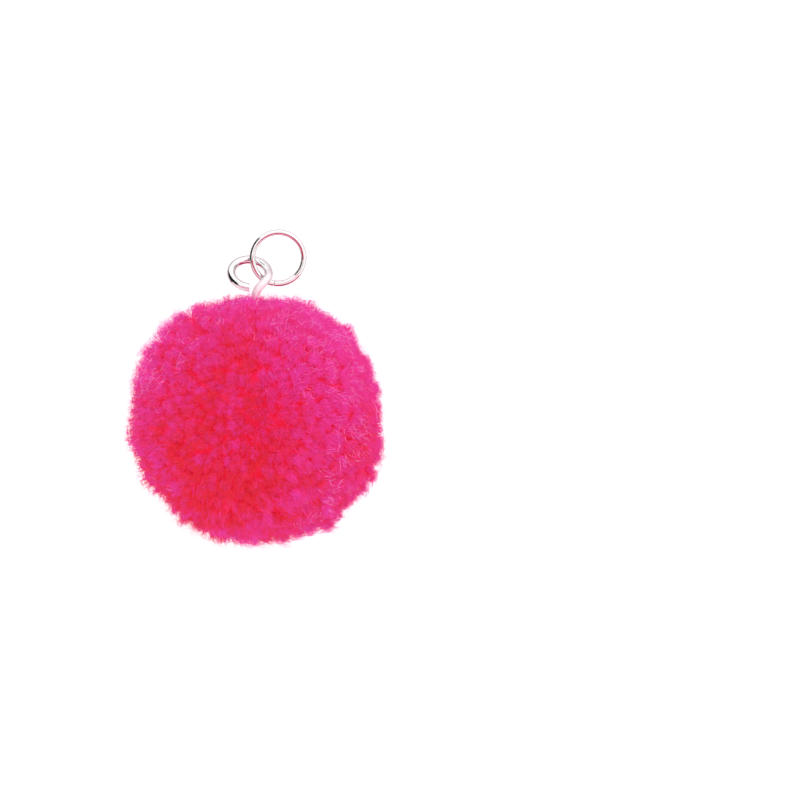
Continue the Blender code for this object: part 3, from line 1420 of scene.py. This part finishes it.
@dataclass
class WireEye(PlatedWire):
    """The bent wire eye whose stem is bound into the ball, its loop's ends bent apart by its pitch."""

    name: str = "plated_wire_eye"
    node: str = "wire_eye"
    wire: float = 1.0 * MM
    steps: int = 96
    sides: int = 32
    ends: tuple[WireEnd, WireEnd] = (WireEnd.BURIED, WireEnd.CUT)
    radius: float = 2.29 * MM
    centre: Vector = field(default_factory=lambda: Vector((-0.68, 17.82, 12.8)) * MM)
    tilt: float = math.radians(44)
    turn: float = math.radians(-9)
    start: float = math.radians(-19)
    end: float = math.radians(277)
    pitch: float = 0.38 * MM
    stem_mouth: Vector = field(default_factory=lambda: Vector((0, 14.75, 14.3)) * MM)
    stem_depth: float = 7.3 * MM
    bend_pull: float = 0.4
    bend_steps: int = 24

    def path(self) -> list[Vector]:
        """Trace the wire from the stem's buried end, round the loop, to its cut end.

        Returns:
            Points of the wire's middle line.
        """
        across = Vector((math.cos(self.turn), math.sin(self.turn), 0))
        away = Matrix.Rotation(-self.tilt, 3, across) @ Vector((-across.y, across.x, 0))
        aside = across.cross(away)
        loop = []
        for step in range(self.steps + 1):
            share = step / self.steps
            angle = self.start + (self.end - self.start) * share
            place = (across * math.cos(angle) + away * math.sin(angle)) * self.radius
            loop.append(self.centre + place + aside * self.pitch * (0.5 - share))
        into_stem = across * math.sin(self.start) - away * math.cos(self.start)
        pull = (loop[0] - self.stem_mouth).length * self.bend_pull
        bend = interpolate_bezier(
            self.stem_mouth,
            self.stem_mouth + Vector((0, pull, 0)),
            loop[0] + into_stem * pull,
            loop[0],
            self.bend_steps,
        )
        inner_end = Vector((0, self.stem_depth, self.stem_mouth.z))
        return [inner_end, *bend[:-1], *loop]


@dataclass
class JumpRing(PlatedWire):
    """The open jump ring that hangs in the eye, its two cut ends butted together."""

    name: str = "plated_jump_ring"
    node: str = "jump_ring"
    wire: float = 0.7 * MM
    steps: int = 160
    sides: int = 28
    ends: tuple[WireEnd, WireEnd] = (WireEnd.CUT, WireEnd.CUT)
    radius: float = 3.15 * MM
    centre: Vector = field(default_factory=lambda: Vector((2.75, 19.70, 12.2)) * MM)
    tilt: float = math.radians(-9)
    tilt_axis: float = math.radians(214)
    joint: float = math.radians(261)
    joint_gap: float = 0.05 * MM

    def path(self) -> list[Vector]:
        """Trace the wire from one cut end round to the other.

        Returns:
            Points of the wire's middle line.
        """
        axis = Vector((math.cos(self.tilt_axis), math.sin(self.tilt_axis), 0))
        tilt = Matrix.Rotation(self.tilt, 3, axis)
        half_gap = self.joint_gap / 2 / self.radius
        turn = 2 * math.pi - 2 * half_gap
        points = []
        for step in range(self.steps + 1):
            angle = self.joint + half_gap + turn * step / self.steps
            spoke = Vector((math.cos(angle), math.sin(angle), 0)) * self.radius
            points.append(self.centre + tilt @ spoke)
        return points


# ---------- the studio


@dataclass(frozen=True)
class NeckCard:
    """A narrow glowing band beside the neck of the ball that only the wires mirror, a painted reflection of
    the pile.
    """

    name: str
    low: float
    high: float
    colour: Colour


@dataclass
class Studio:
    """Camera straight above, white surroundings and floor, a soft key light and cards for the wires.

    The plated wires mirror the cards, which nothing else shows: painted reflections of a grey card under the
    charm, standing for the shaded floor, a dark one at the left and three narrow glowing ones at the ball's
    neck, in place of its nearest pile.
    """

    pixel: float = 0.122 * MM
    frame_pixels: int = 800
    ball_centre_pixel: Span = (255.2, 418.9)
    ball_height: float = 14.3 * MM
    camera_distance: float = 0.8
    camera_clip: Span = (0.01, 50.0)
    sensor: float = 36.0
    light_bounces: int = 8
    world_colour: Colour = (1.0, 1.0, 1.0, 1.0)
    world_strength: float = 1.07
    key_azimuth: float = math.radians(42)
    key_elevation: float = math.radians(40)
    key_distance: float = 0.55
    key_size: float = 0.35
    key_power: float = 0.26
    floor: StageFinish = StageFinish("white_floor", (0.93, 0.93, 0.93, 1.0), 0.35)
    floor_size: float = 8.0
    floor_squares: int = 8
    grey_card: StageFinish = StageFinish("grey_card", (0.68, 0.64, 0.65, 1.0))
    grey_card_radius: float = 0.12
    grey_card_height: float = 0.01 * MM
    grey_card_sides: int = 64
    dark_card: StageFinish = StageFinish("dark_card", (0.01, 0.01, 0.01, 1.0))
    dark_card_middle: float = 18 * MM
    dark_card_height: float = 0.02 * MM
    dark_card_radius: float = 0.20
    dark_card_azimuths: Span = (math.radians(135), math.radians(206))
    dark_card_elevation: float = math.radians(54)
    dark_card_reach: float = 34 * MM
    dark_card_steps: int = 24
    neck_card_place: Span = (0.5 * MM, 15.66 * MM)
    neck_card_width: float = 14 * MM
    neck_card_squares: int = 4
    neck_card_glow: float = 1.0
    neck_cards: tuple[NeckCard, ...] = (
        NeckCard("low_maroon_card", 9.0 * MM, 12.4 * MM, (0.26, 0.010, 0.042, 1.0)),
        NeckCard("pale_card", 12.4 * MM, 15.0 * MM, (0.5, 0.4, 0.43, 1.0)),
        NeckCard("high_maroon_card", 17.0 * MM, 29.0 * MM, (0.28, 0.010, 0.045, 1.0)),
    )

    def place_camera(self) -> None:
        """Look straight down, with the ball where it lies in the picture."""
        camera = bpy.data.cameras.new("camera_above")
        camera.sensor_width = self.sensor
        camera.lens = self.sensor * self.camera_distance / (self.frame_pixels * self.pixel)
        camera.clip_start, camera.clip_end = self.camera_clip
        holder = bpy.data.objects.new("camera_above", camera)
        middle = self.frame_pixels / 2
        column, row = self.ball_centre_pixel
        holder.location = (
            (middle - column) * self.pixel,
            (row - middle) * self.pixel,
            self.ball_height + self.camera_distance,
        )
        bpy.context.scene.collection.objects.link(holder)
        bpy.context.scene.camera = holder

    def light(self) -> None:
        """Set white surroundings and the soft key light at the upper right."""
        world = bpy.data.worlds.new("white_surroundings")
        world.use_nodes = True
        background = world.node_tree.nodes["Background"]
        set_inputs(background, {"Color": self.world_colour, "Strength": self.world_strength})
        bpy.context.scene.world = world
        lamp = bpy.data.lights.new("soft_key", "AREA")
        lamp.shape = "DISK"
        lamp.size = self.key_size
        lamp.energy = self.key_power
        holder = bpy.data.objects.new("soft_key", lamp)
        way = Vector(bearing(self.key_azimuth, self.key_elevation))
        holder.location = way * self.key_distance
        holder.rotation_euler = way.to_track_quat("Z", "Y").to_euler()
        bpy.context.scene.collection.objects.link(holder)

    def lay_floor(self) -> None:
        """Lay the plain white floor."""
        shape = bmesh.new()
        squares, half = self.floor_squares, self.floor_size / 2
        bmesh.ops.create_grid(shape, x_segments=squares, y_segments=squares, size=half)
        self.stage_piece(shape, self.floor)

    def lay_grey_card(self) -> None:
        """Lay the grey card under the charm, a painted reflection of shaded floor that outlines the wires on
        white.
        """
        shape = bmesh.new()
        lift = Matrix.Translation((0, 0, self.grey_card_height))
        sides, radius = self.grey_card_sides, self.grey_card_radius
        bmesh.ops.create_circle(shape, cap_ends=True, segments=sides, radius=radius, matrix=lift)
        self.show_only_in_mirrors(self.stage_piece(shape, self.grey_card))

    def stand_neck_cards(self) -> None:
        """Stand the narrow cards at the neck of the ball, painted reflections of its pile in the wires."""
        squares = self.neck_card_squares
        for band in self.neck_cards:
            shape = bmesh.new()
            size = Matrix.Diagonal((self.neck_card_width, band.high - band.low, 1.0, 1.0))
            upright = Matrix.Rotation(math.radians(-90), 4, "X")
            middle = Matrix.Translation((*self.neck_card_place, (band.low + band.high) / 2))
            place = middle @ upright @ size
            bmesh.ops.create_grid(shape, x_segments=squares, y_segments=squares, size=0.5, matrix=place)
            finish = StageFinish(band.name, band.colour, self.neck_card_glow)
            self.show_only_in_mirrors(self.stage_piece(shape, finish))

    def hang_dark_card(self) -> None:
        """Hang the curved dark card at the left, by turning its profile about the charm."""
        shape = bmesh.new()
        first, last = self.dark_card_azimuths
        heading = Vector(bearing(first, 0))
        lift = Vector((0, 0, self.dark_card_height))
        top = Vector((0, 0, self.dark_card_radius * math.tan(self.dark_card_elevation)))
        profile = (
            heading * self.dark_card_reach + lift,
            heading * self.dark_card_radius + lift,
            heading * self.dark_card_radius + top,
        )
        ends = [shape.verts.new(corner) for corner in profile]
        edges = [shape.edges.new(pair) for pair in zip(ends[:-1], ends[1:])]
        bmesh.ops.spin(
            shape,
            geom=[*ends, *edges],
            cent=(0, 0, 0),
            axis=(0, 0, 1),
            angle=last - first,
            steps=self.dark_card_steps,
            use_merge=False,
            use_duplicate=False,
        )
        bmesh.ops.translate(shape, vec=(0, self.dark_card_middle, 0), verts=shape.verts)
        self.show_only_in_mirrors(self.stage_piece(shape, self.dark_card))

    def show_only_in_mirrors(self, card: Piece) -> None:
        """Hide a card from the camera and from matt surfaces."""
        card.visible_camera = False
        card.visible_diffuse = False
        card.visible_shadow = False

    def stage_piece(self, shape: bmesh.types.BMesh, finish: StageFinish) -> Piece:
        """Make a studio object that isn't part of the charm.

        Args:
            shape: its shape, which is freed.
            finish: its finish, whose name it takes.

        Returns:
            The object.
        """
        piece = shape_to_object(finish.name, shape)
        piece.data.materials.append(finish.make())
        return piece

    def build(self) -> None:
        """Set up the whole studio."""
        scene = bpy.context.scene
        scene.view_settings.view_transform = "Standard"
        scene.cycles.diffuse_bounces = self.light_bounces
        self.place_camera()
        self.light()
        self.lay_floor()
        self.lay_grey_card()
        self.hang_dark_card()
        self.stand_neck_cards()


# ---------- main


def report(pieces: list[Piece]) -> int:
    """Log every piece with its triangles.

    Args:
        pieces: the pieces to report.

    Returns:
        Their triangles in all.
    """
    total = 0
    for piece in pieces:
        count = sum(len(polygon.vertices) - 2 for polygon in piece.data.polygons)
        total += count
        log.info("%s: %d triangles", piece.name, count)
    return total


def main() -> None:
    """Build the studio, the ball and its wires, and report them."""
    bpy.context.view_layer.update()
    Studio().build()
    total = report(YarnBall().build(YarnFinish()))
    eye_plating = PlatedFinish("silver_plated_eye", paints_ball_reflection=True).make()
    ring_plating = PlatedFinish("silver_plated_ring").make()
    total += report([WireEye().build(eye_plating), JumpRing().build(ring_plating)])
    log.info("%d triangles in all", total)


if __name__ == "__main__":
    main()
